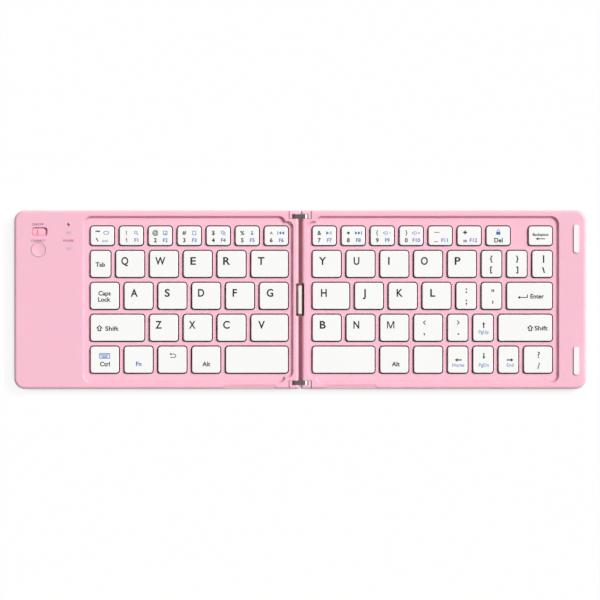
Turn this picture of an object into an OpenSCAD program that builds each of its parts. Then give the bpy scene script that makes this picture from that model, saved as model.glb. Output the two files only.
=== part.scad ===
// Folding keyboard that closes like a book on a double-pivot hinge.
// Origin: middle of the opened keyboard, on the table. +X to the user's right, +Y away, +Z up.
// Both halves are drawn from the hinge outwards, and the left half is the mirrored one.

/* [Body] */
// Length of the opened keyboard from end to end
body_length = 304.5; // [290:0.5:330]
// Depth of the body from the front edge to the rear edge
body_depth = 95; // [88:0.5:104]
// Height of one half, from its underside to its rim
body_height = 7.4; // [7.4:0.1:9]
// Radius of the four outer corners, seen from above
corner_radius = 5.5; // [4:0.5:8]
// Rounding of the upper edges
edge_radius = 1.4; // [0.8:0.1:1.5]
// Gap between the two halves when they lie open
centre_gap = 1.8; // [1.6:0.1:2]
// Thickness of the side walls
wall = 1.3; // [1.2:0.1:1.5]
// Strip between the last cap of the right half and its end
end_margin = 18.15; // [17:0.05:20]
// Strip between the key block and the front and rear edges
side_margin = 8.5; // [8:0.1:9.5]

/* [Keys] */
// Distance from the number row to the first row of letters
number_row_pitch = 13; // [12.6:0.1:13.2]
// Pink web and gaps left between two key caps
key_spacing = 3; // [2.8:0.1:3.2]
// Gap around each cap in its opening
cap_gap = 0.6; // [0.3:0.05:0.6]
// How far a key goes down
key_travel = 1.5; // [1.2:0.1:1.6]
// Depth of the sunken key deck below the rim
deck_depth = 1.9; // [1.7:0.1:2]
// Height of a resting cap below the rim
cap_below_rim = 0.4; // [0.3:0.1:0.6]

/* [Hinge] */
// Distance from the rim down to the pivots
pivot_depth = 1.55; // [1.5:0.05:1.6]
// Space between the two rims when the keyboard is folded
folded_gap = 0.8; // [0.7:0.1:1]
// Diameter of the pivot pins
pin_d = 1.2; // [1:0.1:1.2]
// Width of a link along the hinge
link_width = 2; // [1.8:0.1:2.1]
// Distance from a pivot to the end of its link
link_end = 2; // [1.6:0.1:2.1]
// Running clearance of a pin in its bore
pin_fit = 0.05; // [0.03:0.01:0.08]

/* [Controls] */
// Travel of the power slider
slider_travel = 1.6; // [1.2:0.1:1.8]
// Diameter of the pairing button
button_d = 7.5; // [6.5:0.1:8]
// Travel of the pairing button
button_travel = 0.4; // [0.3:0.05:0.5]
// Depth of the dished top of the pairing button
button_dish = 0.25; // [0.1:0.05:0.35]

/* [Supports] */
// Height of the rubber feet below the body
foot_height = 0.6; // [0.4:0.1:1]
// Diameter of the rubber feet
foot_d = 8; // [6:0.5:9]
// Length of the two rubber bumpers at the right end
bumper_length = 15; // [12:0.5:18]
// Width of the bumpers
bumper_width = 3; // [2.5:0.1:3.5]

/* [Hidden] */
$fn = 48;

// Overshoot of a cutting shape past the face that it cuts
cut = 1;
// Clearance between pieces that lie next to each other
play = 0.15;
// Thickness of the lip that centres the upper shell on the lower cover
lip_t = 0.8;

// Heights, from the table up
base_z = foot_height;
rim_z = base_z + body_height;
floor_z = base_z + 1;
seam_z = base_z + 2.6;
seam_gap = 0.1;
deck_z = rim_z - deck_depth;
deck_under_z = deck_z - 1.1;
panel_under_z = rim_z - 1.1;
plate_z = floor_z + 0.8;
plate_t = 0.4;
sheet_z = plate_z + plate_t;
sheet_t = 0.3;
dome_h = 0.35;

// Plan sizes, measured from the hinge outwards
half_length = body_length / 2;
half_gap = centre_gap / 2;
half_depth = body_depth / 2;
hinge_corner_r = edge_radius + 0.2;
hinge_wall = 2.1;
recess_flare = 1.2;
recess_corner_r = 3.2;
recess_inner_r = 2.4;
notch_inner_r = 2.1;
// Strips of the sunken deck around the key block: rear and front, beside the hinge housings,
// hinge side, step of the housings, panel end and bumper end
recess_strip = 4.4;
notch_strip = 1.7;
hinge_strip = 1.8;
notch_step = 4.2;
panel_strip = 3;
bumper_strip = 2.6;

// Double pivot: the two pivots stand apart so that the folded rims keep their gap
pivot_u = folded_gap / 2 + pivot_depth;
pivot_z = rim_z - pivot_depth;
link_half_h = pivot_depth - 0.05;
link_end_r = 1.1;
// Length and fall of the slope on top of each end of a link
link_slope = [1.1, 0.5];
link_inset = 3.2;
link_y = half_depth - link_inset;
link_play = 0.25;
// Room that the end of a link sweeps around its pivot
pocket_r = norm([link_end - link_end_r, link_half_h - link_end_r]) + link_end_r + link_play;
pocket_near = link_y - link_width / 2 - link_play;
pocket_far = link_y + link_width / 2 + link_play;
bracket_u = 5.7;
bracket_seam = 0.4;
tongue_u = 13.3;
pin_near = pocket_near - 1.8;
pin_far = pocket_far + 1.3;

// Middle window in both ridges, where the flat cable crosses
window_half = 8.7;
window_u = 2.15;
ribbon_half = 7.5;
ribbon_t = 0.2;
ribbon_z = floor_z + 0.05;
guard_t = 0.8;
bridge_z = pivot_z - guard_t - 0.35;

// Key layout. Widths are in key pitches, and a row reads from left to right
left_units = 6;
right_units = 7.25;
letter_rows = 4;
hinge_inset = 6.6;
// The keys fill what the margins leave of the body
key_pitch = round(100 * (half_length - hinge_inset - end_margin + key_spacing) / right_units) / 100;
row_pitch = round(100 * (body_depth - 2 * side_margin - number_row_pitch + key_spacing)
                  / letter_rows) / 100;
number_pitch = round(left_units * key_pitch * 100 / 7) / 100;
number_unit = number_pitch / key_pitch;
left_rows = [
    [for (i = [1:7]) ["number_keys_left", number_unit]],
    [["key_tab", 0.75], for (w = [1, 1, 1, 1, 1.25]) ["upper_letters_left", w]],
    [["key_caps_lock", 1], ["key_a", 1], ["key_s", 1], ["key_d", 1], ["key_f", 1], ["key_g", 1]],
    [["key_shift_left", 1.75], for (w = [1, 1, 1, 1.25]) ["lower_letters_left", w]],
    [["key_control", 1], ["key_function", 1], ["key_menu_left", 1], ["key_alt_left", 1],
     ["key_space_left", 2]]
];
right_rows = [
    [for (i = [1:7]) ["number_keys_right", number_unit],
     ["", right_units - 8 * number_unit], ["key_backspace", number_unit]],
    [for (i = [1:5]) ["upper_letters_right", 1], for (i = [1:3]) ["bracket_keys", 0.75]],
    [for (w = [1.25, 1, 1, 1, 0.75, 0.75]) ["home_keys_right", w], ["key_enter", 1.5]],
    [for (i = [1:4]) ["lower_letters_right", 1], ["lower_letters_right", 0.75],
     ["key_arrow_up", 0.75], ["key_shift_right", 1.75]],
    [["key_space_right", 2], ["key_alt_right", 1], ["key_menu_right", 1], ["key_arrow_left", 0.75],
     ["key_arrow_down", 0.75], ["key_arrow_right", 0.75], ["key_slash", 1]]
];
left_start = -hinge_inset - left_units * key_pitch + key_spacing;
right_start = hinge_inset;
block_depth = letter_rows * row_pitch + number_row_pitch - key_spacing;

// Caps, stems and the room that they need when pressed
cap_top_z = rim_z - cap_below_rim;
cap_r = 1.4;
cap_edge = 0.4;
cap_bottom_z = sheet_z + sheet_t + 0.3 + key_travel;
cap_wall = 1;
stem_r = 1.5;
stem_bottom_z = sheet_z + sheet_t + dome_h + 0.05 + key_travel;

// Sunken deck, at the level of its floor
recess_hinge_u = hinge_inset - hinge_strip;
recess_y = block_depth / 2 + recess_strip;
notch_y = block_depth / 2 + notch_strip;
notch_u = recess_hinge_u + notch_step;
left_recess_u = hinge_inset + left_units * key_pitch - key_spacing + panel_strip;
right_recess_u = hinge_inset + right_units * key_pitch - key_spacing + bumper_strip;

// Control panel of the left half. Each part has its place in from the panel's end and rear edge
slider_in = [13.55, 11.25];
button_in = [12.85, 20.9];
lens_in = [11.9, 20.3];
lens_from_panel = 6.5;
socket_in = 22.5;
panel_wall = 1;
panel_u = left_recess_u + recess_flare + panel_wall;
slider_u = half_length - slider_in[0];
slider_y = half_depth - slider_in[1];
slot_w = 6.6 + slider_travel;
slot_d = 4.5;
knob_w = 6.2;
knob_d = 3.4;
knob_below_rim = 0.8;
knob_rib = [0.5, 2.2, 0.5];
knob_rest_u = slider_u + slot_w / 2 - 0.2 - knob_w / 2;
button_u = half_length - button_in[0];
button_y = half_depth - button_in[1];
lens_u = panel_u + lens_from_panel;
lens_ys = [for (d = lens_in) half_depth - d];
lens_w = 2.8;
lens_d = 1.2;
board_gap = 0.6;
board_z = base_z + 2.2;
board_t = 0.8;
board_top_z = board_z + board_t;
board_near = -8;
board_far = half_depth - wall - play - lip_t - play;
board_u0 = panel_u + board_gap;
board_u1 = half_length - wall - play - lip_t - 0.5;
board_r = corner_radius - 2;
socket_u = half_length - socket_in;
socket_w = 8.9;
socket_h = 3.2;
socket_length = 7.3;
battery_w = 24;
battery_d = 30;
battery_t = 3.5;

// Fasteners and feet, in distances from the hinge
screw_r = 0.65;
head_r = 1.3;
head_h = 0.55;
post_r = 2;
post_near_u = 20;
post_near_in = 5.2;
post_far_in = [5.75, 6];
post_near = [post_near_u, half_depth - post_near_in];
post_far = [half_length - post_far_in[0], half_depth - post_far_in[1]];
cover_screw_length = 3.6;
bracket_screw_length = 2.8;
plate_y = post_near[1] - post_r - 0.5;
rib_pitch = (block_depth / 2 - 4.5) / 3;
bracket_screw = [10.6, link_y + 0.3];
foot_near_u = 14;
foot_in = [12, 9.5];
foot_us = [foot_near_u, half_length - foot_in[0]];
foot_y = half_depth - foot_in[1];
foot_sink = 0.3;
bumper_in = [5.1, 15];
bumper_r = 1.2;
bumper_u = half_length - bumper_in[0];
bumper_y = half_depth - bumper_in[1];
bumper_h = folded_gap - 0.1;
bumper_sink = 0.4;

// Sloping finger relief in the front edge of each half: distance from the hinge, width, run, drop
relief_u = 13;
relief_w = 27.5;
relief_run = 2.4;
relief_drop = 0.7;

// Layout functions
function units_before(row, i) = i == 0 ? 0 : units_before(row, i - 1) + row[i - 1][1];
function row_depth(r) = (r == 0 ? number_row_pitch : row_pitch) - key_spacing;
function row_y0(r) = r == 0
    ? block_depth / 2 - row_depth(0)
    : block_depth / 2 - number_row_pitch - (r - 1) * row_pitch - row_depth(r);
// One cap as [node, x0, x1, y0, y1]
function caps(rows, start) = [
    for (r = [0:4], i = [0:len(rows[r]) - 1]) if (rows[r][i][0] != "") [
        rows[r][i][0],
        start + units_before(rows[r], i) * key_pitch,
        start + (units_before(rows[r], i) + rows[r][i][1]) * key_pitch - key_spacing,
        row_y0(r),
        row_y0(r) + row_depth(r)
    ]
];
left_caps = caps(left_rows, left_start);
right_caps = caps(right_rows, right_start);

// Quarter-round cutter for a profile's corner
module round_off(r) {
    difference() {
        square(r + cut);
        circle(r);
    }
}

// Half section of a block: r out to the wall, h up, with rounded or flared outer edges
module wall_profile(r, h, top, bottom, flare) {
    difference() {
        polygon([[0, 0], [r, 0], [r + flare, h], [0, h]]);
        if (top > 0) translate([r - top, h - top]) round_off(top);
        if (bottom > 0) translate([r - bottom, bottom]) mirror([0, 1]) round_off(bottom);
    }
}

// Block from x0 to x1 and -y to y with two corner radii and shaped edges. It is drawn from its
// middle towards both ends, so that its pieces meet on exactly the same planes
module block(x0, x1, y, z0, z1, r0, r1, top = 0, bottom = 0, flare = 0) {
    h = z1 - z0;
    half = (x1 - x0) / 2;
    translate([(x0 + x1) / 2, 0, z0]) for (end = [[0, r1], [1, r0]]) mirror([end[0], 0, 0]) {
        r = end[1];
        rotate([90, 0, 90]) linear_extrude(half - r)
            for (m = [0, 1]) mirror([m, 0]) wall_profile(y, h, top, bottom, flare);
        translate([half - r, y - r, 0]) rotate([90, 0, 0])
            linear_extrude(2 * (y - r)) wall_profile(r, h, top, bottom, flare);
        for (m = [0, 1]) mirror([0, m, 0]) translate([half - r, y - r, 0])
            rotate_extrude(angle = 90) wall_profile(r, h, top, bottom, flare);
    }
}

// Flat outline with rounded corners, middle on the origin
module rounded_outline(w, d, r) {
    square([w - 2 * r, d], center = true);
    square([w, d - 2 * r], center = true);
    for (x = [-1, 1], y = [-1, 1]) translate([x * (w / 2 - r), y * (d / 2 - r)]) circle(r);
}

// Round bar along Y
module bar_y(u, z, r, y0, y1) {
    translate([u, y1, z]) rotate([90, 0, 0]) cylinder(r = r, h = y1 - y0);
}

// Child repeated at the front and at the rear end of the hinge
module both_ends() {
    for (m = [0, 1]) mirror([0, m, 0]) children();
}

// Child turned over to the left half
module left_side() {
    mirror([1, 0, 0]) children();
}

// Room for the caps of one half, in the deck
module cap_openings(list) {
    for (c = list)
        translate([(c[1] + c[2]) / 2, (c[3] + c[4]) / 2, deck_under_z - cut])
            linear_extrude(rim_z - deck_under_z)
                rounded_outline(c[2] - c[1] + 2 * cap_gap, c[4] - c[3] + 2 * cap_gap,
                                cap_r + cap_gap);
}

// Sunken deck: a full-width hollow and a shorter one that leaves the hinge housings standing
module deck_recess(end_u) {
    top_z = rim_z + cut;
    flare = recess_flare * (top_z - deck_z) / deck_depth;
    block(recess_hinge_u, end_u, notch_y, deck_z, top_z, notch_inner_r, recess_corner_r,
          flare = flare);
    block(notch_u, end_u, recess_y, deck_z, top_z, recess_inner_r, recess_corner_r,
          flare = flare);
}

// Wedge that lowers the front edge where a fingertip opens the folded keyboard
module finger_relief() {
    slope = relief_drop / relief_run;
    translate([relief_u, -half_depth + relief_run, rim_z]) rotate([90, 0, 90])
        linear_extrude(relief_w)
            polygon([[0, 0], [0, cut], [-relief_run - cut, cut],
                     [-relief_run - cut, -slope * (relief_run + cut)]]);
}

// Upper shell of one half before its key openings
module top_shell(end_u) {
    inner_y = half_depth - wall;
    difference() {
        union() {
            difference() {
                block(half_gap, half_length, half_depth, seam_z, rim_z, hinge_corner_r,
                      corner_radius, top = edge_radius);
                block(half_gap + hinge_wall, half_length - wall, inner_y, seam_z - cut,
                      deck_under_z, 0.5, corner_radius - wall);
                block(end_u + recess_flare + panel_wall, half_length - wall, inner_y, seam_z - cut,
                      panel_under_z, 0.5, corner_radius - wall);
            }
            both_ends() {
                translate([post_near[0], post_near[1], floor_z + play])
                    cylinder(r = post_r, h = deck_z - floor_z - play - 0.4);
                translate([post_far[0], post_far[1], floor_z + play])
                    cylinder(r = post_r, h = rim_z - floor_z - play - 0.5);
            }
        }
        deck_recess(end_u);
        both_ends() {
            translate([-cut, pocket_near, seam_z - cut])
                cube([bracket_u + bracket_seam + cut, half_depth, body_height]);
            bar_y(pivot_u, pivot_z, pin_d / 2 + pin_fit, pin_near - pin_fit, pocket_near + cut);
            for (p = [post_near, post_far])
                translate([p[0], p[1], floor_z])
                    cylinder(r = screw_r + 0.01, h = cover_screw_length);
            translate([bracket_screw[0], bracket_screw[1], seam_z])
                cylinder(r = screw_r + 0.01, h = deck_z - seam_z);
        }
        translate([0, -window_half, seam_z - cut])
            cube([window_u, 2 * window_half, body_height]);
        translate([0, -ribbon_half - 0.5, seam_z - cut])
            cube([half_gap + hinge_wall + cut, 2 * ribbon_half + 1, deck_under_z - seam_z + cut]);
        finger_relief();
    }
}

module left_case_top() color("pink") difference() {
    left_side() top_shell(left_recess_u);
    cap_openings(left_caps);
    left_side() {
        translate([slider_u, slider_y, panel_under_z - cut])
            linear_extrude(4) rounded_outline(slot_w, slot_d, 1.5);
        translate([button_u, button_y, panel_under_z - cut])
            cylinder(r = button_d / 2 + 0.2, h = 4);
        for (y = lens_ys) translate([lens_u, y, panel_under_z - cut])
            linear_extrude(4) rounded_outline(lens_w + 0.1, lens_d + 0.1, 0.5);
        translate([socket_u, half_depth + cut, board_top_z + socket_h / 2]) rotate([90, 0, 0])
            linear_extrude(wall + 2 * cut) rounded_outline(socket_w + 0.3, socket_h + 0.3, 1.65);
    }
}

module right_case_top() color("pink") difference() {
    top_shell(right_recess_u);
    cap_openings(right_caps);
    bumper_outline(rim_z - bumper_sink, bumper_sink + cut, 0.1);
}

// Lower cover with its lip, ribs, screw holes and foot seats
module case_bottom(rib_end) {
    inner_y = half_depth - wall;
    lip_gap = wall + play;
    lip_u = half_gap + hinge_wall + play;
    rib_t = 1;
    rib_start = hinge_inset + 1.4;
    difference() {
        union() {
            difference() {
                block(half_gap, half_length, half_depth, base_z, seam_z - seam_gap,
                      hinge_corner_r, corner_radius, bottom = 0.8);
                block(half_gap + wall, half_length - wall, inner_y, floor_z, seam_z + cut,
                      0.5, corner_radius - wall);
            }
            difference() {
                block(lip_u, half_length - lip_gap, half_depth - lip_gap, base_z + 0.5,
                      seam_z + 0.9, 0.5, corner_radius - lip_gap);
                block(lip_u + lip_t, half_length - lip_gap - lip_t,
                      half_depth - lip_gap - lip_t, floor_z, seam_z + cut, 0.5,
                      corner_radius - lip_gap - lip_t);
            }
            both_ends() for (i = [1:3]) translate([rib_start, i * rib_pitch, floor_z - 0.2])
                cube([rib_end - rib_start, rib_t, plate_z - floor_z + 0.2]);
        }
        both_ends() {
            translate([lip_u - 0.1, pocket_near - 0.3, floor_z])
                cube([tongue_u + 1 - lip_u, inner_y - pocket_near + 0.3, body_height]);
            for (p = [post_near, post_far]) translate([p[0], p[1], 0]) {
                cylinder(r = head_r + play, h = base_z + head_h + 0.05);
                cylinder(r = screw_r + play, h = floor_z + cut);
            }
            for (u = foot_us) translate([u, foot_y, base_z - cut])
                cylinder(r = foot_d / 2 + 0.1, h = foot_sink + cut);
        }
        translate([half_gap + 0.5, -ribbon_half - 0.4, floor_z])
            cube([hinge_wall + 3, 2 * ribbon_half + 0.8, body_height]);
    }
}

module left_case_bottom() color("pink") left_side() {
    difference() {
        union() {
            case_bottom(left_recess_u);
            for (p = [[board_u0 + 2, board_near + 2], [board_u1 - 2, board_near + 2],
                      [board_u0 + 2, board_far - 3], [slider_u, board_far - 24]])
                translate([p[0], p[1], floor_z - 0.2]) cylinder(r = 1.5, h = board_z - floor_z + 0.2);
        }
        translate([socket_u, half_depth + cut, board_top_z + socket_h / 2]) rotate([90, 0, 0])
            linear_extrude(wall + 3 * cut) rounded_outline(socket_w + 0.5, socket_h + 0.5, 1.75);
    }
}

module right_case_bottom() color("pink") case_bottom(right_recess_u);

// Metal knuckle block at each end of the hinge: an outer ear, a back, a floor and a screwed tongue
module hinge_brackets() {
    low_z = seam_z + 0.05;
    difference() {
        intersection() {
            union() {
                both_ends() {
                    translate([half_gap, pocket_near + play, low_z])
                        cube([bracket_u - half_gap, half_depth, pivot_z - low_z]);
                    translate([pivot_u, pocket_near + play, low_z])
                        cube([bracket_u - pivot_u, half_depth, body_height]);
                    bar_y(pivot_u, pivot_z, pivot_depth, pocket_near + play, half_depth);
                    translate([bracket_u - 0.5, pocket_near + play, low_z])
                        cube([tongue_u - bracket_u + 0.5, half_depth - wall - 0.1 - pocket_near - play,
                              deck_under_z - low_z - 0.1]);
                }
            }
            translate([0, 0, low_z]) rotate([90, 0, 90]) linear_extrude(tongue_u + cut)
                for (m = [0, 1]) mirror([m, 0])
                    wall_profile(half_depth, rim_z - low_z, edge_radius, 0, 0);
        }
        both_ends() {
            translate([0, pocket_near - cut, pivot_z - pocket_r])
                cube([pivot_u + pocket_r, pocket_far - pocket_near + cut, body_height]);
            bar_y(pivot_u, pivot_z, pin_d / 2 + pin_fit, pocket_near, pin_far + pin_fit);
            translate([bracket_screw[0], bracket_screw[1], seam_z - cut])
                cylinder(r = screw_r + play, h = body_height);
        }
    }
}

module left_hinge_brackets() color("hotpink") left_side() hinge_brackets();

module right_hinge_brackets() color("hotpink") hinge_brackets();

// Flat links that carry the two pivots
module hinge_links() color("dimgray") both_ends() difference() {
    translate([0, link_y + link_width / 2, pivot_z]) rotate([90, 0, 0])
        linear_extrude(link_width) difference() {
            rounded_outline(2 * (pivot_u + link_end), 2 * link_half_h, link_end_r);
            for (s = [-1, 1]) translate([s * (pivot_u + link_end), link_half_h])
                polygon([for (k = [-1, 1]) [s * k * link_slope[0], -(k + 1) * link_slope[1]],
                         [s * link_slope[0], link_half_h], [-s * link_slope[0], link_half_h]]);
        }
    for (u = [-pivot_u, pivot_u])
        bar_y(u, pivot_z, pin_d / 2 + 0.01, link_y - link_width, link_y + link_width);
}

module hinge_pins() color("silver") both_ends() for (u = [-pivot_u, pivot_u])
    bar_y(u, pivot_z, pin_d / 2, pin_near, pin_far);

// Stretch of flat cable in the plane of the hinge section, from one point to the next
module ribbon(points) {
    translate([0, ribbon_half, 0]) rotate([90, 0, 0]) linear_extrude(2 * ribbon_half)
        for (i = [0:len(points) - 2]) {
            step = points[i + 1] - points[i];
            translate(points[i]) rotate(atan2(step[1], step[0]))
                translate([-ribbon_t / 2, -ribbon_t / 2])
                    square([norm(step) + ribbon_t, ribbon_t]);
        }
}

// The cable bends on the two pivot lines, so each half holds its own stretch of it
module left_flex_cable() color("dimgray") left_side() ribbon([
    [pivot_u, pivot_z - 0.35], [pivot_u, ribbon_z + ribbon_t / 2],
    [board_u0 - 1.5, ribbon_z + ribbon_t / 2], [board_u0 - 0.8, board_top_z + 0.4],
    [board_u0 + 1.9, board_top_z + 0.4]
]);

module right_flex_cable() color("dimgray") ribbon([
    [pivot_u, pivot_z - 0.35], [pivot_u, ribbon_z + ribbon_t / 2],
    [16, ribbon_z + ribbon_t / 2]
]);

module flex_cable_bridge() color("dimgray") ribbon([
    [-pivot_u, pivot_z], [-half_gap, bridge_z], [half_gap, bridge_z], [pivot_u, pivot_z]
]);

// Light bar that covers the cable in the gap between the halves
module cable_guard() color("linen")
    translate([-half_gap, -ribbon_half, pivot_z - guard_t - 0.1])
        cube([2 * half_gap, 2 * ribbon_half, guard_t]);

// Sheet steel that carries the membrane
module key_plate(end_u) {
    translate([recess_hinge_u, -plate_y, plate_z])
        cube([end_u - recess_hinge_u - 1, 2 * plate_y, plate_t]);
}

module left_key_plate() color("silver") left_side() key_plate(left_recess_u);

module right_key_plate() color("silver") key_plate(right_recess_u);

// Contact membrane with one rubber dome under each cap
module dome_sheet(end_u, list) {
    translate([recess_hinge_u, -plate_y, sheet_z])
        cube([end_u - recess_hinge_u - 1, 2 * plate_y, sheet_t]);
    for (c = list) translate([abs(c[1] + c[2]) / 2, (c[3] + c[4]) / 2, sheet_z])
        cylinder(r = 2.2, h = sheet_t + dome_h);
}

module left_dome_sheet() color("whitesmoke") left_side() dome_sheet(left_recess_u, left_caps);

module right_dome_sheet() color("whitesmoke") dome_sheet(right_recess_u, right_caps);

// Circuit board of the control panel with the parts soldered to it
module main_board() color("seagreen") left_side() {
    difference() {
        translate([(board_u0 + board_u1) / 2, (board_near + board_far) / 2, board_z])
            linear_extrude(board_t)
                rounded_outline(board_u1 - board_u0, board_far - board_near, board_r);
        translate([post_far[0], post_far[1], board_z - cut])
            cylinder(r = post_r + 0.3, h = board_t + 2 * cut);
    }
    for (part = [
        [slider_u, slider_y, 7.5, 3.6, 1.7],
        [button_u, button_y, 4.5, 4.5, 1.5],
        [lens_u, lens_ys[0], 1.6, 0.8, 0.6],
        [lens_u, lens_ys[1], 1.6, 0.8, 0.6],
        [board_u0 + 3.8, 0, 3.5, 2 * ribbon_half + 2, 1.2],
        [slider_u, (button_y + board_near) / 2 - 5.3, 6, 6, 0.9],
        [slider_u - 9, (button_y + board_near) / 2 + 2.7, 3.2, 2.5, 0.8]
    ])
        translate([part[0] - part[2] / 2, part[1] - part[3] / 2, board_top_z])
            cube([part[2], part[3], part[4]]);
}

// Battery pouch beside the board
module battery() color("lightgray") left_side()
    translate([0, board_near - 2.5 - battery_d / 2, 0])
        block(panel_u + 0.8, panel_u + 0.8 + battery_w, battery_d / 2, floor_z + play,
              floor_z + play + battery_t, 1.5, 1.5, top = 1, bottom = 1);

// Metal shell of the charging socket with its contact tongue
module charging_socket() color("silver") left_side()
    translate([socket_u, half_depth - 0.2, board_top_z + socket_h / 2]) rotate([90, 0, 0]) {
        difference() {
            linear_extrude(socket_length) rounded_outline(socket_w, socket_h, 1.5);
            translate([0, 0, -cut]) linear_extrude(socket_length - 0.6 + cut)
                rounded_outline(socket_w - 0.6, socket_h - 0.6, 1.2);
        }
        translate([-3.3, -0.35, 1.2]) cube([6.6, 0.7, socket_length - 1.5]);
    }

// Clear light guides of the two status lamps
module indicator_lenses() color("mistyrose") left_side() for (y = lens_ys) {
    translate([lens_u, y, board_top_z + 0.7])
        linear_extrude(rim_z - board_top_z - 0.7) rounded_outline(lens_w, lens_d, 0.45);
    translate([lens_u, y, panel_under_z - 0.9])
        linear_extrude(0.8) rounded_outline(lens_w + 1.2, lens_d + 1.2, 0.6);
}

// Knob of the power switch with its finger rib, at rest at the outer end of its slot
module power_slider() color("pink") left_side() translate([knob_rest_u, slider_y, 0]) {
    translate([0, 0, panel_under_z - 0.5])
        linear_extrude(rim_z - knob_below_rim - panel_under_z + 0.5)
            rounded_outline(knob_w, knob_d, 1.4);
    translate([-knob_rib[0] / 2, -knob_rib[1] / 2, rim_z - knob_below_rim - play])
        cube([knob_rib[0], knob_rib[1], knob_rib[2] + play]);
    translate([-knob_w / 2 - 2.4, -slot_d / 2 - 1, panel_under_z - 0.9])
        cube([knob_w + 4.8, slot_d + 2, 0.8]);
    translate([-1, -1, board_top_z + 1.8]) cube([2, 2, panel_under_z - board_top_z - 2]);
}

// Round button with its dished top, flange and stem
module pairing_button() color("pink") left_side() translate([button_u, button_y, 0]) {
    top_z = rim_z + 0.1;
    dish_half = button_d / 2 - 0.3;
    dish_r = (dish_half * dish_half + button_dish * button_dish) / (2 * button_dish);
    difference() {
        translate([0, 0, panel_under_z - 0.5])
            cylinder(r = button_d / 2, h = top_z - panel_under_z + 0.5);
        translate([0, 0, top_z - button_dish + dish_r]) sphere(r = dish_r, $fn = 240);
    }
    translate([0, 0, panel_under_z - 0.9]) cylinder(r = button_d / 2 + 0.9, h = 0.8);
    translate([0, 0, board_top_z + 1.6 + button_travel])
        cylinder(r = 1.2, h = panel_under_z - board_top_z - 1.8 - button_travel);
}

// Small board that joins the flat cable to the right membrane
module link_board() color("seagreen")
    translate([9, -10, ribbon_z + ribbon_t]) cube([11, 20, 0.5]);

// Stadium outline of the two bumpers, from z up by h, grown by gap
module bumper_outline(z, h, gap) {
    both_ends() translate([bumper_u, bumper_y, z]) linear_extrude(h)
        rounded_outline(bumper_width + 2 * gap, bumper_length + 2 * gap, bumper_r + gap);
}

module end_bumpers() color("white")
    bumper_outline(rim_z - bumper_sink, bumper_sink + bumper_h, 0);

module feet() both_ends() for (u = foot_us)
    translate([u, foot_y, 0]) cylinder(r = foot_d / 2, h = base_z + foot_sink);

module left_feet() color("gainsboro") left_side() feet();

module right_feet() color("gainsboro") feet();

// Pan-head screw, head down, with its seat at the given height
module screw(seat_z, length) {
    difference() {
        translate([0, 0, seat_z - head_h]) cylinder(r = head_r, h = head_h);
        for (a = [0, 90]) rotate(a) translate([-0.7, -0.15, seat_z - head_h - cut])
            cube([1.4, 0.3, cut + 0.3]);
    }
    translate([0, 0, seat_z - 0.05]) cylinder(r = screw_r, h = length + 0.05);
}

module screws() both_ends() {
    for (p = [post_near, post_far])
        translate([p[0], p[1], 0]) screw(base_z + head_h + 0.05, cover_screw_length);
    translate([bracket_screw[0], bracket_screw[1], 0]) screw(seam_z + 0.05, bracket_screw_length);
}

module left_screws() color("silver") left_side() screws();

module right_screws() color("silver") screws();

// One hollow cap. Its stem is what the hollow leaves standing in the middle
module cap(c) {
    w = c[2] - c[1];
    d = c[4] - c[3];
    inner_w = w - 2 * cap_wall;
    inner_d = d - 2 * cap_wall;
    roof_z = cap_top_z - cap_wall;
    translate([(c[1] + c[2]) / 2, (c[3] + c[4]) / 2, 0]) difference() {
        block(-w / 2, w / 2, d / 2, cap_bottom_z, cap_top_z, cap_r, cap_r, top = cap_edge);
        translate([0, 0, stem_bottom_z]) linear_extrude(roof_z - stem_bottom_z) difference() {
            rounded_outline(inner_w, inner_d, 0.5);
            circle(stem_r);
        }
        translate([0, 0, cap_bottom_z - cut]) linear_extrude(stem_bottom_z - cap_bottom_z + cut)
            rounded_outline(inner_w, inner_d, 0.5);
    }
}

// All caps that belong to one node
module keys(name) color("white")
    for (c = concat(left_caps, right_caps)) if (c[0] == name) cap(c);

left_case_top();
left_case_bottom();
left_hinge_brackets();
left_key_plate();
left_dome_sheet();
main_board();
battery();
charging_socket();
indicator_lenses();
left_feet();
left_screws();
left_flex_cable();
power_slider();
pairing_button();
hinge_links();
hinge_pins();
flex_cable_bridge();
cable_guard();
right_case_top();
right_case_bottom();
right_hinge_brackets();
right_key_plate();
right_dome_sheet();
link_board();
end_bumpers();
right_feet();
right_screws();
right_flex_cable();
keys("number_keys_left");  // number_keys_left
keys("number_keys_right");  // number_keys_right
keys("key_backspace");  // key_backspace
keys("key_tab");  // key_tab
keys("upper_letters_left");  // upper_letters_left
keys("upper_letters_right");  // upper_letters_right
keys("bracket_keys");  // bracket_keys
keys("key_caps_lock");  // key_caps_lock
keys("key_a");  // key_a
keys("key_s");  // key_s
keys("key_d");  // key_d
keys("key_f");  // key_f
keys("key_g");  // key_g
keys("home_keys_right");  // home_keys_right
keys("key_enter");  // key_enter
keys("key_shift_left");  // key_shift_left
keys("lower_letters_left");  // lower_letters_left
keys("lower_letters_right");  // lower_letters_right
keys("key_arrow_up");  // key_arrow_up
keys("key_shift_right");  // key_shift_right
keys("key_control");  // key_control
keys("key_function");  // key_function
keys("key_menu_left");  // key_menu_left
keys("key_alt_left");  // key_alt_left
keys("key_space_left");  // key_space_left
keys("key_space_right");  // key_space_right
keys("key_alt_right");  // key_alt_right
keys("key_menu_right");  // key_menu_right
keys("key_arrow_left");  // key_arrow_left
keys("key_arrow_down");  // key_arrow_down
keys("key_arrow_right");  // key_arrow_right
keys("key_slash");  // key_slash
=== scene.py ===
"""Looks of a folding keyboard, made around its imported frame.

The file is laid out as an add-on and is run as a script. Each operator finishes or makes one group
of pieces, and main() calls them in order. Lengths are metres, and a name that ends in _MM holds
millimetres.
"""

import math

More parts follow.
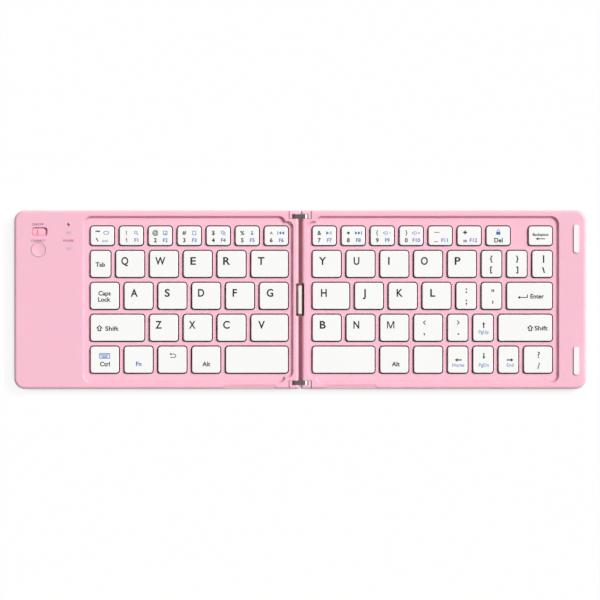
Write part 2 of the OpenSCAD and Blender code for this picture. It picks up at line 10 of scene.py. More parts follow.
import bpy
from bpy.props import FloatProperty, FloatVectorProperty, PointerProperty
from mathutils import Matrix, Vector


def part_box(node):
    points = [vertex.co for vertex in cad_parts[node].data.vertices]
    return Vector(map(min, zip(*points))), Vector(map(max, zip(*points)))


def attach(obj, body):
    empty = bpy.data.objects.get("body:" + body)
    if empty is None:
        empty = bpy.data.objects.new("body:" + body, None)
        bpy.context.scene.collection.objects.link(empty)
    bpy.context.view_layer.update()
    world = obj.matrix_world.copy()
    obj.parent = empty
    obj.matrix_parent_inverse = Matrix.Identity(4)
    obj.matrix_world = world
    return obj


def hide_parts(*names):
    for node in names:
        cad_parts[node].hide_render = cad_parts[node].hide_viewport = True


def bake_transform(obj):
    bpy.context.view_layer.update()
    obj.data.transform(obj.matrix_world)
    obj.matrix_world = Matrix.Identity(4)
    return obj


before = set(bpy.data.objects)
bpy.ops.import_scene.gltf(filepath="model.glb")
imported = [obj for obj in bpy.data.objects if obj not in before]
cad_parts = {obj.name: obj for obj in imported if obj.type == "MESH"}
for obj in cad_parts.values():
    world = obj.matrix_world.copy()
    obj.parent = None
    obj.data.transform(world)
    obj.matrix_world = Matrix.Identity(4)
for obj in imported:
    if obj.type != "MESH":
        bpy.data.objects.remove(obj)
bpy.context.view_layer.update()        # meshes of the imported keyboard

bl_info = {
    "name": "Folding keyboard looks",
    "version": (1, 0, 0),
    "blender": (4, 5, 0),
    "location": "View3D > Sidebar > Keyboard",
    "description": "Finishes, printed marks, flat cable and stage of a folding keyboard",
    "category": "Object",
}

MM = 0.001
# Cap height of the built-in font, as a share of its size
FONT_CAP_HEIGHT = 0.682
# Size of the faint patches in every surface
PATCH_MM = 22
# Caps in the number row of each half
NUMBER_CAPS = 7
# Width of a cap of the number row, which has its own pitch
NUMBER_WIDTH = None


def linear(hex_colour):
    """Turns an sRGB hex value into the linear colour that a shader takes."""
    values = [int(hex_colour[i:i + 2], 16) / 255 for i in (0, 2, 4)]
    return [v / 12.92 if v <= 0.04045 else ((v + 0.055) / 1.055) ** 2.4 for v in values]


def length(name, description, default, smallest=0.0):
    return FloatProperty(name=name, description=description, default=default, min=smallest,
                         unit="LENGTH", subtype="DISTANCE", precision=5)


def colour(name, description, hex_colour):
    return FloatVectorProperty(name=name, description=description, subtype="COLOR", size=3,
                               min=0.0, max=1.0, default=linear(hex_colour))


class KeyboardColours(bpy.types.PropertyGroup):
    """Colours that a maker would choose, and the painted shades of grooves and gaps."""
    case: colour("Case", "Moulded case, deck and hinge housings", "F8BDCE")
    # Painted shade: the deeper pink that stands in for the shade in grooves and corners
    painted_groove_shade: colour("Grooves", "Deeper tone of the case in grooves and corners", "F28FAA")
    cap: colour("Key caps", "Moulded key caps", "F4F4F2")
    # Painted shade: the dark tone that stands in for the shade down in the gaps round the caps
    painted_gap_shade: colour("Joint lines", "Tone of the caps down in the gaps round them", "4A2A32")
    ink: colour("Ink", "Letters and signs printed on the caps", "1D1D21")
    function_ink: colour("Function ink", "Signs that need the function key", "3F68BC")
    # Its faint pink is painted bounce light from the case
    bumper: colour("Bumpers", "Rubber bumpers at the end", "F7F1F3")


class KeyboardMarks(bpy.types.PropertyGroup):
    """Sizes of what is printed on the caps and the panel."""
    letter_height: length("Letter height", "Height of the capitals on the letter keys", 3.9 * MM)
    word_height: length("Word height", "Height of the capitals in words such as Shift", 2.25 * MM)
    digit_height: length("Digit height", "Height of the digits on the number row", 2.1 * MM)
    sign_height: length("Sign height", "Height of the small function signs", 2.3 * MM)
    ink_height: length("Ink height", "How far the print stands above its surface", 0.012 * MM)
    ink_depth: length("Ink depth", "How far the print sinks into its surface", 0.008 * MM)


class KeyboardStage(bpy.types.PropertyGroup):
    """Camera, floor and lamp."""
    view_width: length("View width", "Width that the picture shows at cap level", 319.5 * MM)
    camera_height: length("Camera height", "Height of the camera above the table", 3.0)
    floor_size: length("Floor size", "Edge of the square floor", 6.0)
    key_strength: FloatProperty(name="Key light", default=4.0, min=0.0,
                                description="Strength of the far soft lamp")
    key_softness: FloatProperty(name="Key softness", default=math.radians(20), min=0.0,
                                subtype="ANGLE", unit="ROTATION",
                                description="Angle that the key lamp fills")
    fill_light: FloatProperty(name="Fill light", description="Strength of the white surroundings",
                              default=0.07, min=0.0, max=1.0)


# ---- Key layout, read from the frame


def key_grid():
    """Pitch of the letter caps and of the number caps, measured on the frame."""
    caps_low, caps_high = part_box("key_caps_lock")
    next_low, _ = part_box("key_a")
    numbers_low, numbers_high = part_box("number_keys_left")
    spacing = next_low.x - caps_high.x
    number_pitch = (numbers_high.x - numbers_low.x + spacing) / NUMBER_CAPS
    return next_low.x - caps_low.x, number_pitch


# Centre of each letter from its cap's left edge in millimetres, and how much it is narrowed or
# widened from the built-in font
LETTERS = {
    "Q": (4.7, 0.83), "W": (5.6, 0.85), "E": (5.1, 1.18), "R": (4.95, 1.12), "T": (5.3, 1),
    "Y": (5.3, 0.97), "U": (5.4, 0.86), "I": (4.6, 1), "O": (5.5, 0.84), "P": (5.2, 1.14),
    "A": (5.2, 0.88), "S": (4.8, 1.1), "D": (4.85, 0.86), "F": (4.75, 1), "G": (5.5, 0.92),
    "H": (6.0, 0.87), "J": (5.05, 1), "K": (5.9, 0.88), "L": (5.5, 1.05), "Z": (4.7, 0.85),
    "X": (4.6, 0.77), "C": (4.8, 0.94), "V": (5.5, 0.94), "B": (5.4, 1.08), "N": (5.3, 0.8),
    "M": (5.6, 1),
}


def letter_marks(letter):
    centre_x, _ = LETTERS[letter]
    if letter == "M":
        return [("sign", "letter_m", centre_x, 5.4, "letter", "ink")]
    return [("word", letter, centre_x, 5.4, "letter", "ink")]


def number_marks(upper, digit, sign, function):
    drawn = {"!": "exclaim", "*": "asterisk"}
    top = ("sign", drawn[upper], 3.6, 3.5, "sign", "ink") if upper in drawn else (
        "glyph", upper, 3.6, 3.5, "symbol", "ink")
    below = ("sign", "one", 3.6, 7.35, "digit", "ink") if digit == "1" else (
        "word", digit, 3.6, 7.35, "digit", "ink")
    return [top, below,
            ("sign", sign, 8.85, 3.5, "sign", "function"),
            ("word", function, 8.95, 7.35, "small", "function")]


def stacked_marks(upper, lower, x=5.4, size="stacked"):
    return [("glyph", upper, x, 4.4, size, "ink"), ("glyph", lower, x, 10.2, size, "ink")]


def letter_keys(node, letters, width=1):
    """Caps of one node that carry a letter each."""
    return tuple((node, width, letter_marks(letter)) for letter in letters)


def number_keys(node, marks):
    """Caps of the number row, each with its sign, digit, function sign and function word."""
    return tuple((node, NUMBER_WIDTH, number_marks(*mark)) for mark in marks)


def stacked_signs(upper, lower, x):
    return [("sign", upper, x, 4.2, "sign", "ink"), ("sign", lower, x, 10.3, "sign", "ink")]


LEFT_ROWS = (
    ("number_keys_left", (
        ("number_keys_left", NUMBER_WIDTH, [
            ("glyph", "~", 3.8, 2.6, "bold", "ink"), ("sign", "grave", 3.5, 7.1, "sign", "ink"),
            ("sign", "oval", 8.3, 3.4, "sign", "function"),
            ("word", "esc", 7.85, 7.5, "faint", "function")]),
        *number_keys("number_keys_left", (
            ("!", "1", "magnifier", "F1"), ("@", "2", "picture", "F2"),
            ("#", "3", "page", "F3"), ("$", "4", "sheets", "F4"),
            ("%", "5", "figure", "F5"), ("^", "6", "previous", "F6"))))),
    ("key_tab", (
        ("key_tab", 0.75, [("word", "Tab", 5.15, 7.3, "word", "ink")]),
        *letter_keys("upper_letters_left", "QWER"),
        *letter_keys("upper_letters_left", "T", 1.25))),
    ("key_caps_lock", (
        ("key_caps_lock", 1, [("word", "Caps", 7.4, 5.6, "word", "ink"),
                              ("word", "Lock", 7.3, 8.9, "word", "ink")]),
        *(("key_" + letter.lower(), 1, letter_marks(letter)) for letter in "ASDFG"))),
    ("key_shift_left", (
        ("key_shift_left", 1.75, [("sign", "shift", 4.7, 7.2, "large_sign", "ink"),
                                  ("word", "Shift", 11.3, 7.4, "broad", "ink")]),
        *letter_keys("lower_letters_left", "ZXC"),
        *letter_keys("lower_letters_left", "V", 1.25))),
    ("key_control", (
        ("key_control", 1, [("sign", "keyboard", 7.5, 4.95, "icon", "function"),
                            ("word", "Ctrl", 7.6, 9.3, "word", "ink")]),
        ("key_function", 1, [("word", "Fn", 7.6, 9.2, "word", "function")]),
        ("key_menu_left", 1, [("sign", "return", 7.85, 4.65, "icon", "ink")]),
        ("key_alt_left", 1, [("word", "Alt", 7.6, 9.3, "word", "ink")]),
        ("key_space_left", 2, []))),
)
RIGHT_ROWS = (
    ("number_keys_right", (
        *number_keys("number_keys_right", (
            ("&", "7", "play_pause", "F7"), ("*", "8", "next", "F8"),
            ("(", "9", "quieter", "F9"), (")", "0", "louder", "F10"))),
        ("number_keys_right", NUMBER_WIDTH, [
            ("sign", "dash", 4.4, 3.2, "sign", "ink"),
            ("sign", "low_dash", 4.0, 8.1, "sign", "ink"),
            ("word", "F11", 8.6, 7.35, "small", "function")]),
        ("number_keys_right", NUMBER_WIDTH, [
            ("glyph", "+", 4.05, 3.2, "bold", "ink"), ("sign", "equals", 4.05, 7.8, "sign", "ink"),
            ("word", "F12", 8.5, 7.35, "small", "function")]),
        ("number_keys_right", NUMBER_WIDTH, [
            ("sign", "padlock", 6.3, 3.0, "icon", "function"),
            ("word", "Del", 6.4, 7.35, "word", "ink")]))),
    ("key_tab", (
        *letter_keys("upper_letters_right", "YUIOP"),
        ("bracket_keys", 0.75, stacked_marks("{", "[", 5.1)),
        ("bracket_keys", 0.75, stacked_marks("}", "]", 5.5)),
        ("bracket_keys", 0.75, stacked_marks("|", "\\", 6.0, "bar")))),
    ("key_caps_lock", (
        *letter_keys("home_keys_right", "H", 1.25),
        *letter_keys("home_keys_right", "JKL"),
        ("home_keys_right", 0.75, stacked_signs("colon", "semicolon", 5.4)),
        ("home_keys_right", 0.75, stacked_signs("double_quote", "single_quote", 5.95)),
        ("key_enter", 1.5, [("sign", "enter", 8.35, 7.35, "sign", "ink"),
                            ("word", "Enter", 16.1, 7.2, "word", "ink")]))),
    ("key_shift_left", (
        *letter_keys("lower_letters_right", "BNM"),
        ("lower_letters_right", 1, stacked_signs("less", "comma", 5.5)),
        ("lower_letters_right", 0.75, stacked_signs("more", "point", 5.6)),
        ("key_arrow_up", 0.75, [("sign", "arrow_up", 5.6, 5.5, "arrow", "ink"),
                                ("word", "PgUp", 5.6, 9.2, "nav", "function")]),
        ("key_shift_right", 1.75, [("sign", "shift", 16.9, 7.2, "large_sign", "ink"),
                                   ("word", "Shift", 22.7, 7.2, "broad", "ink")]))),
    ("key_control", (
        ("key_space_right", 2, []),
        ("key_alt_right", 1, [("word", "Alt", 8.3, 9.3, "word", "ink")]),
        ("key_menu_right", 1, []),
        ("key_arrow_left", 0.75, [("sign", "arrow_left", 5.5, 7.1, "arrow_thin", "ink"),
                                  ("word", "Home", 5.6, 9.8, "nav", "function")]),
        ("key_arrow_down", 0.75, [("sign", "arrow_down", 5.7, 5.0, "arrow", "ink"),
                                  ("word", "PgDn", 5.7, 9.8, "nav", "function")]),
        ("key_arrow_right", 0.75, [("sign", "arrow_right", 6.2, 7.1, "arrow_thin", "ink"),
                                   ("word", "End", 6.2, 9.8, "nav", "function")]),
        ("key_slash", 1, stacked_marks("?", "/", 7.9, "question")))),
)
BACKSPACE_MARKS = [("word", "Backspace", 6.3, 4.3, "tiny", "ink"),
                   ("sign", "arrow_back", 6.2, 6.6, "arrow_thin", "ink")]
# Height of each kind of mark, as one of the marks' settings and a share of it, the weight that its
# strokes gain on each side, as a share of the height, and its width, as a share of the font's
MARK_SIZES = {
    "letter": ("letter_height", 1.0, 0.034, 1),
    "word": ("word_height", 1.0, 0.04, 1),
    "broad": ("word_height", 1.0, 0.035, 1.2),
    "small": ("word_height", 0.84, 0.035, 1),
    "faint": ("word_height", 0.8, 0.0, 1),
    "nav": ("word_height", 0.78, 0.01, 1),
    "tiny": ("word_height", 0.62, 0.04, 1),
    "stacked": ("word_height", 1.15, 0.055, 1),
    "bar": ("word_height", 1.2, 0.08, 1),
    "question": ("word_height", 1.4, 0.025, 1),
    "digit": ("digit_height", 1.0, 0.05, 1),
    "symbol": ("digit_height", 1.05, 0.03, 1),
    "bold": ("digit_height", 1.1, 0.08, 1.1),
    "sign": ("sign_height", 1.0, 0, 1),
    "large_sign": ("sign_height", 1.55, 0, 1),
    "icon": ("sign_height", 1.25, 0, 1),
    "arrow": ("sign_height", 1.4, 0, 1),
    "arrow_thin": ("sign_height", 0.55, 0, 1),
}


# ---- Signs, as closed outlines in a box one high around the origin. An outline inside another
# is a hole


def box_outline(x0, y0, x1, y1):
    return [(x0, y0), (x1, y0), (x1, y1), (x0, y1)]


def frame_outlines(x0, y0, x1, y1, line=0.13):
    return [box_outline(x0, y0, x1, y1), box_outline(x0 + line, y0 + line, x1 - line, y1 - line)]


def round_outline(x, y, radius_x, radius_y=None, first=0.0, last=360.0, steps=24):
    radius_y = radius_x if radius_y is None else radius_y
    whole = abs(last - first) >= 360
    count = steps if whole else steps + 1
    return [(x + radius_x * math.cos(math.radians(first + (last - first) * i / steps)),
             y + radius_y * math.sin(math.radians(first + (last - first) * i / steps)))
            for i in range(count)]


def star_outline(points, inner, outer):
    """Star with one point upward."""
    step = math.radians(180 / points)
    return [(radius * math.sin(step * i), radius * math.cos(step * i))
            for i, radius in enumerate([outer, inner] * points)]


def arrow_outline(long, shaft=0.16, head=0.62, head_long=0.55):
    """Arrow to the left, long from tip to tail."""
    tip, tail, neck = -long / 2, long / 2, -long / 2 + head_long
    return [(tip, 0), (neck, -head / 2), (neck, -shaft / 2), (tail, -shaft / 2), (tail, shaft / 2),
            (neck, shaft / 2), (neck, head / 2)]


def turned(outline, quarter_turns):
    for _ in range(quarter_turns):
        outline = [(-y, x) for x, y in outline]
    return outline


def shift_outlines():
    outer = [(-0.52, -0.02), (0, 0.48), (0.52, -0.02), (0.27, -0.02), (0.27, -0.44), (-0.27, -0.44),
             (-0.27, -0.02)]
    inner = [(-0.2, 0.1), (0, 0.28), (0.2, 0.1), (0.12, 0.1), (0.12, -0.3), (-0.12, -0.3),
             (-0.12, 0.1)]
    return [outer, inner]


def enter_outlines():
    return [[(-1.2, -0.2), (-0.6, -0.54), (-0.6, -0.3), (1.2, -0.3), (1.2, 0.5), (1.0, 0.5),
             (1.0, -0.1), (-0.6, -0.1), (-0.6, 0.14)]]


def speaker_outlines():
    body = [(-1.0, -0.16), (-0.72, -0.16), (-0.25, -0.48), (-0.25, 0.48), (-0.72, 0.16),
            (-1.0, 0.16)]
    inner = [(-0.9, -0.07), (-0.68, -0.07), (-0.34, -0.3), (-0.34, 0.3), (-0.68, 0.07),
             (-0.9, 0.07)]
    wave = round_outline(-0.25, 0, 0.42, 0.42, -70, 70, 10)
    wave += round_outline(-0.25, 0, 0.33, 0.33, 70, -70, 10)
    return [body, inner, wave]


def return_outlines():
    """Arrow to the left that comes round a hook, as one outline."""
    line = 0.13
    low, high = -0.45, 0.3
    middle, rise = (low + high) / 2, (high - low) / 2
    hook = round_outline(0.2, middle, 0.38, rise, 90, -90, 12)
    inner = round_outline(0.2, middle, 0.38 - line, rise - line, -90, 90, 12)
    return [[(-0.62, high - line / 2), (-0.32, 0.5), (-0.32, high)] + hook
            + [(-0.5, low), (-0.5, low + line)] + inner
            + [(-0.32, high - line), (-0.32, high - line - 0.2)]]


def padlock_outlines():
    shackle = round_outline(0, 0.08, 0.27, 0.42, 0, 180, 14)
    shackle += round_outline(0, 0.08, 0.17, 0.3, 180, 0, 14)
    return [box_outline(-0.38, -0.5, 0.38, 0.06), shackle]


def keyboard_outlines():
    outlines = frame_outlines(-1.0, -0.5, 1.0, 0.5, 0.13)
    for row, y in enumerate((0.2, -0.02)):
        outlines += [box_outline(x - 0.075, y - 0.08, x + 0.075, y + 0.08)
                     for x in [-0.72 + 0.2 * i + 0.08 * row for i in range(8 - row)]]
    return outlines + [box_outline(-0.5, -0.32, 0.5, -0.17)]


def signs():
    """Outlines of every sign by name."""
    bar = 0.16
    chevron = [(-0.34, 0), (0.2, -0.55), (0.34, -0.42), (-0.06, 0), (0.34, 0.42), (0.2, 0.55)]
    left_pair = [[(-0.55, 0), (0.05, -0.42), (0.05, 0.42)],
                 [(0.12, 0), (0.72, -0.42), (0.72, 0.42)]]
    return {
        "oval": [round_outline(0, 0, 0.68, 0.46, steps=12),
                 round_outline(0, 0, 0.54, 0.32, steps=12)],
        "magnifier": [round_outline(-0.1, 0.12, 0.38), round_outline(-0.1, 0.12, 0.25),
                      [(0.12, -0.22), (0.22, -0.12), (0.53, -0.41), (0.42, -0.52)]],
        "picture": frame_outlines(-0.5, -0.5, 0.5, 0.5)
        + [[(-0.3, -0.3), (0.3, -0.3), (0.05, 0.05), (-0.1, -0.1)],
           round_outline(0.18, 0.24, 0.09)],
        "page": [[(-0.42, -0.5), (0.1, -0.5), (0.1, -0.37), (-0.29, -0.37), (-0.29, 0.37),
                  (0.29, 0.37), (0.29, -0.05), (0.42, -0.05), (0.42, 0.5), (-0.42, 0.5)],
                 box_outline(0.2, -0.5, 0.48, -0.22)],
        "sheets": frame_outlines(-0.5, -0.12, 0.22, 0.5)
        + [[(-0.12, -0.5), (0.5, -0.5), (0.5, 0.24), (0.31, 0.24), (0.31, 0.11), (0.37, 0.11),
            (0.37, -0.37), (0.01, -0.37), (0.01, -0.21), (-0.12, -0.21)]],
        "figure": [round_outline(0, 0.3, 0.18),
                   [(-0.12, 0.08), (0.12, 0.08), (0.34, -0.5), (0.14, -0.5), (0, -0.2),
                    (-0.14, -0.5), (-0.34, -0.5)]],
        "previous": [box_outline(-0.85, -0.42, -0.85 + bar, 0.42)] + left_pair,
        "next": [[(-x, y) for x, y in reversed(o)] for o in left_pair]
        + [box_outline(0.85 - bar, -0.42, 0.85, 0.42)],
        "play_pause": [[(0.0, 0), (-0.7, 0.42), (-0.7, -0.42)],
                       box_outline(0.14, -0.36, 0.26, 0.36),
                       box_outline(0.4, -0.36, 0.52, 0.36)],
        "quieter": speaker_outlines() + [box_outline(0.4, -0.06, 0.85, 0.06)],
        "louder": speaker_outlines()
        + [[(0.4, -0.06), (0.56, -0.06), (0.56, -0.22), (0.69, -0.22), (0.69, -0.06), (0.85, -0.06),
            (0.85, 0.06), (0.69, 0.06), (0.69, 0.22), (0.56, 0.22), (0.56, 0.06), (0.4, 0.06)]],
        "dash": [box_outline(-0.6, -0.07, 0.6, 0.07)],
        "equals": [box_outline(-0.42, 0.08, 0.42, 0.27), box_outline(-0.42, -0.27, 0.42, -0.08)],
        "double_quote": [box_outline(-0.3, -0.3, -0.06, 0.3), box_outline(0.06, -0.3, 0.3, 0.3)],
        "single_quote": [box_outline(-0.13, -0.34, 0.13, 0.34)],
        "colon": [box_outline(-0.16, 0.2, 0.16, 0.52), box_outline(-0.16, -0.52, 0.16, -0.2)],
        "semicolon": [box_outline(-0.16, 0.24, 0.16, 0.56),
                      [(-0.16, -0.12), (-0.16, -0.45), (-0.02, -0.45), (-0.14, -0.74), (0, -0.74),
                       (0.16, -0.45), (0.16, -0.12)]],
        "comma": [[(-0.16, 0.2), (-0.16, -0.12), (-0.03, -0.12), (-0.14, -0.38), (0, -0.38),
                   (0.16, -0.12), (0.16, 0.2)]],
        "point": [box_outline(-0.17, -0.17, 0.17, 0.17)],
        "less": [chevron],
        "more": [turned(chevron, 2)],
        "grave": [[(-0.34, 0.4), (-0.04, 0.4), (0.32, -0.4), (0.08, -0.4)]],
        "exclaim": [[(-0.1, 0.5), (0.1, 0.5), (0.07, -0.2), (-0.07, -0.2)],
                    box_outline(-0.09, -0.5, 0.09, -0.32)],
        "asterisk": [star_outline(6, 0.22, 0.45)],
        "one": [[(0.03, 0.5), (0.19, 0.5), (0.19, -0.5), (0.03, -0.5), (0.03, 0.26), (-0.2, 0.12),
                 (-0.2, 0.28)]],
        "letter_m": [[(-0.5, -0.5), (-0.5, 0.5), (-0.31, 0.5), (0, -0.27), (0.31, 0.5), (0.5, 0.5),
                      (0.5, -0.5), (0.36, -0.5), (0.36, 0.27), (0.07, -0.5), (-0.07, -0.5),
                      (-0.36, 0.27), (-0.36, -0.5)]],
        "low_dash": [box_outline(-0.42, -0.07, 0.42, 0.07)],
        "padlock": padlock_outlines(),
        "keyboard": keyboard_outlines(),
        "return": return_outlines(),
        "shift": shift_outlines(),
        "enter": enter_outlines(),
        "arrow_left": [arrow_outline(2.9, 0.5, 1.5, 1.2)],
        "arrow_right": [turned(arrow_outline(2.9, 0.5, 1.5, 1.2), 2)],
        "arrow_back": [arrow_outline(4.0, 0.36, 1.2, 1.2)],
        "arrow_up": [turned(arrow_outline(1.0, 0.19, 0.5, 0.38), 3)],
        "arrow_down": [turned(arrow_outline(1.0, 0.19, 0.5, 0.38), 1)],
        "bolt": [[(0.02, 0.5), (-0.38, -0.02), (-0.06, -0.08), (-0.02, -0.5), (0.4, -0.02),
                  (0.1, 0.06)]],
    }


# ---- Modelling helpers


def deselect_all():
    if bpy.context.object and bpy.context.object.mode != "OBJECT":
        bpy.ops.object.mode_set(mode="OBJECT")
    bpy.ops.object.select_all(action="DESELECT")


def mesh_from_selected():
    """Turns the one selected text or curve into a mesh with its place applied."""
    bpy.ops.object.convert(target="MESH")
    bpy.ops.object.transform_apply(location=True, rotation=True, scale=True)
    return bpy.context.object


def printed_text(text, centre, height, depth, weight, width, by_baseline):
    """One printed word or glyph. A word stands on the line below the centre, and a glyph is
    centred both ways. weight is how much its strokes are thickened on each side, and width
    narrows or widens it."""
    deselect_all()
    bpy.ops.object.text_add(location=(0, 0, 0))
    obj = bpy.context.object
    obj.data.body = text
    obj.data.size = height / FONT_CAP_HEIGHT
    obj.data.resolution_u = 4
    obj.data.offset = weight * height
    obj.data.extrude = depth / 2
    obj = mesh_from_selected()
    bpy.ops.transform.resize(value=(width, 1, 1))
    bpy.ops.object.transform_apply(location=False, rotation=False, scale=True)
    xs = [v.co.x for v in obj.data.vertices]
    ys = [v.co.y for v in obj.data.vertices]
    shift_y = height / 2 if by_baseline else (min(ys) + max(ys)) / 2
    bpy.ops.transform.translate(value=(centre.x - (min(xs) + max(xs)) / 2, centre.y - shift_y,
                                       centre.z))
    bpy.ops.object.transform_apply(location=True, rotation=False, scale=False)
    return obj


def printed_sign(outlines, centre, height, depth):
    """One printed sign from closed outlines."""
    deselect_all()
    bpy.ops.object.add(type="CURVE", location=centre)
    obj = bpy.context.object
    obj.data.dimensions = "2D"
    obj.data.fill_mode = "BOTH"
    obj.data.extrude = depth / 2
    for outline in outlines:
        spline = obj.data.splines.new("POLY")
        spline.points.add(len(outline) - 1)
        for point, (x, y) in zip(spline.points, outline):
            point.co = (x * height, y * height, 0, 1)
        spline.use_cyclic_u = True
    return mesh_from_selected()


def closed_and_outward(obj, merge=0.0002 * MM):
    """Merges doubles and turns every face outward."""
    deselect_all()
    obj.select_set(True)
    bpy.context.view_layer.objects.active = obj
    bpy.ops.object.mode_set(mode="EDIT")
    bpy.ops.mesh.select_all(action="SELECT")
    bpy.ops.mesh.remove_doubles(threshold=merge)
    bpy.ops.mesh.normals_make_consistent(inside=False)
    bpy.ops.object.mode_set(mode="OBJECT")


def joined(objects, name):
    """One piece from several meshes, closed and facing outward."""
    deselect_all()
    for obj in objects:
        obj.select_set(True)
    bpy.context.view_layer.objects.active = objects[0]
    if len(objects) > 1:
        bpy.ops.object.join()
    obj = bpy.context.object
    obj.name = obj.data.name = name
    closed_and_outward(obj)
    return obj


def finish_piece(obj, material):
    obj.data.materials.clear()
    obj.data.materials.append(material)
    return obj


# ---- Materials


def new_node(tree, kind, inputs=None, **settings):
    """Adds a node with its settings and links. An input takes a number, a colour or a socket."""
    node = tree.nodes.new(kind)
    for name, value in settings.items():
        setattr(node, name, value)
    for name, value in (inputs or {}).items():
        if isinstance(value, bpy.types.NodeSocket):
            tree.links.new(value, node.inputs[name])
        else:
            node.inputs[name].default_value = value
    return node


def new_material(name):
    """Empty material with an output node."""
    material = bpy.data.materials.new(name)
    material.use_nodes = True
    tree = material.node_tree
    tree.nodes.clear()
    output = tree.nodes.new("ShaderNodeOutputMaterial")
    return material, tree, output


def rgba(values):
    return (*values, 1.0)


def surface(name, base, roughness, grain_mm, bump_mm=0.0, tint=0.03, rough_spread=0.06,
            stretch=(1, 1, 1), painted_groove_shade=None, **shader):
    """Principled surface with a fine grain in colour, roughness and relief.

    grain_mm is the size of the grain, bump_mm its height, tint and rough_spread how far colour and
    roughness vary with it, and stretch draws the grain out along an axis, as brushing does.
    A shade colour may be given for narrow places: painted shade that an occlusion node mixes in,
    standing in for the light that goes from wall to wall, with their width in millimetres and the
    open share of the view at which the colour begins to show."""
    material, tree, output = new_material(name)
    place = new_node(tree, "ShaderNodeTexCoord")
    scaled = new_node(tree, "ShaderNodeMapping", {"Vector": place.outputs["Object"],
                                                  "Scale": stretch})
    grain = new_node(tree, "ShaderNodeTexNoise", {"Vector": scaled.outputs[0],
                                                  "Scale": 1 / (grain_mm * MM), "Detail": 3.0,
                                                  "Roughness": 0.6})
    patch = new_node(tree, "ShaderNodeTexNoise", {"Vector": place.outputs["Object"],
                                                  "Scale": 1 / (PATCH_MM * MM), "Detail": 2.0})
    both = new_node(tree, "ShaderNodeMath", {0: grain.outputs["Fac"], 1: patch.outputs["Fac"]},
                    operation="ADD")
    tone = new_node(tree, "ShaderNodeMapRange", {"Value": both.outputs[0], "From Min": 0.6,
                                                 "From Max": 1.4})
    mixed = new_node(tree, "ShaderNodeMix", {"Factor": tone.outputs[0]}, data_type="RGBA")
    mixed.inputs["A"].default_value = rgba([v * (1 - tint) for v in base])
    mixed.inputs["B"].default_value = rgba([min(1, v * (1 + tint)) for v in base])
    rough = new_node(tree, "ShaderNodeMapRange", {"Value": grain.outputs["Fac"],
                                                  "From Min": 0.3, "From Max": 0.7,
                                                  "To Min": max(0.03, roughness - rough_spread),
                                                  "To Max": min(1, roughness + rough_spread)})
    colour_out = mixed.outputs["Result"]
    # Painted shade: mixed in where an occlusion node finds the place narrow
    if painted_groove_shade:
        painted_shade_colour, width_mm, open_from = painted_groove_shade
        open_air = new_node(tree, "ShaderNodeAmbientOcclusion", {"Distance": width_mm * MM},
                            samples=8)
        open_share = new_node(tree, "ShaderNodeMapRange", {"Value": open_air.outputs["AO"],
                                                           "From Min": 0.3, "From Max": open_from})
        with_painted_shade = new_node(tree, "ShaderNodeMix", {"Factor": open_share.outputs[0],
                                                    "B": colour_out}, data_type="RGBA")
        with_painted_shade.inputs["A"].default_value = rgba(painted_shade_colour)
        colour_out = with_painted_shade.outputs["Result"]
    inputs = {"Base Color": colour_out, "Roughness": rough.outputs[0]}
    if bump_mm:
        bump = new_node(tree, "ShaderNodeBump", {"Height": grain.outputs["Fac"], "Strength": 1.0,
                                                 "Distance": bump_mm * MM})
        inputs["Normal"] = bump.outputs[0]
    inputs.update(shader)
    principled = new_node(tree, "ShaderNodeBsdfPrincipled", inputs)
    tree.links.new(principled.outputs[0], output.inputs["Surface"])
    return material


def shader_parts(material):
    """Node tree, shader, base colour and texture coordinates of a surface, to build on."""
    tree = material.node_tree
    shader = next(n for n in tree.nodes if n.type == "BSDF_PRINCIPLED")
    place = next(n for n in tree.nodes if n.type == "TEX_COORD")
    return tree, shader, shader.inputs["Base Color"].links[0].from_socket, place


def assign(material, *nodes):
    """Gives CAD nodes a finish in every material slot they have."""
    for name in nodes:
        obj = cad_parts[name]
        if not obj.material_slots:
            obj.data.materials.append(material)
        for material_slot in obj.material_slots:
            material_slot.material = material


def key_nodes():
    names = [node for rows in (LEFT_ROWS, RIGHT_ROWS) for _, row in rows for node, _, _ in row]
    return list(dict.fromkeys(names)) + ["key_backspace"]


# ---- Operators


